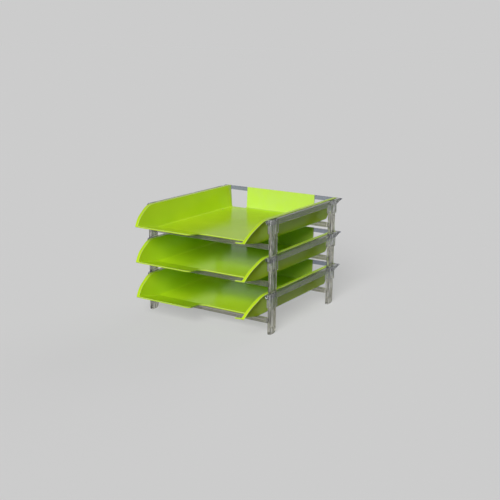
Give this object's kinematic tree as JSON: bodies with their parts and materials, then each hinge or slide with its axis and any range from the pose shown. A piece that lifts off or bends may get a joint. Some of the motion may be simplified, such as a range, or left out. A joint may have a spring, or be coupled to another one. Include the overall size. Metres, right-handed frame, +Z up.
{
  "type": "stacking document tray",
  "caption": "Tiered document tray: clear side frames stack by feet in sockets and carry opaque letter trays that slide out of the front, each with a ramped lip and a finger cut-out.",
  "frame": {"origin": "middle of the stack's bounding box, on the plane under the feet", "axes": "+X to the right seen from the front, +Y to the back, so the open front faces -Y, +Z up"},
  "size_m": [0.2774, 0.323, 0.21],
  "materials": {
    "frame_clear": "clear, slightly smoky, glossy",
    "tray_green": "opaque lime green, glossy"
  },
  "bodies": {
    "base_frame": {"base_right_frame": "frame_clear", "base_left_frame": "frame_clear", "base_rear_rail": "frame_clear", "base_front_bar": "frame_clear", "base_rear_bar": "frame_clear"},
    "base_tray_body": {"base_tray": "tray_green"},
    "middle_frame": {"middle_right_frame": "frame_clear", "middle_left_frame": "frame_clear", "middle_rear_rail": "frame_clear", "middle_front_bar": "frame_clear", "middle_rear_bar": "frame_clear"},
    "middle_tray_body": {"middle_tray": "tray_green"},
    "top_frame": {"top_right_frame": "frame_clear", "top_left_frame": "frame_clear", "top_rear_rail": "frame_clear", "top_front_bar": "frame_clear", "top_rear_bar": "frame_clear"},
    "top_tray_body": {"top_tray": "tray_green"}
  },
  "joints": [
    {"name": "base_tray_slide", "type": "slide", "parent": "base_frame", "child": "base_tray_body", "axis": [0, -1, 0], "range_m": [0, 0.325]},
    {"name": "middle_tray_slide", "type": "slide", "parent": "middle_frame", "child": "middle_tray_body", "axis": [0, -1, 0], "range_m": [0, 0.325]},
    {"name": "middle_frame_lift", "type": "slide", "parent": "base_frame", "child": "middle_frame", "axis": [0, 0, 1], "range_m": [0, 0.06]},
    {"name": "top_tray_slide", "type": "slide", "parent": "top_frame", "child": "top_tray_body", "axis": [0, -1, 0], "range_m": [0, 0.325]},
    {"name": "top_frame_lift", "type": "slide", "parent": "middle_frame", "child": "top_frame", "axis": [0, 0, 1], "range_m": [0, 0.06]}
  ]
}
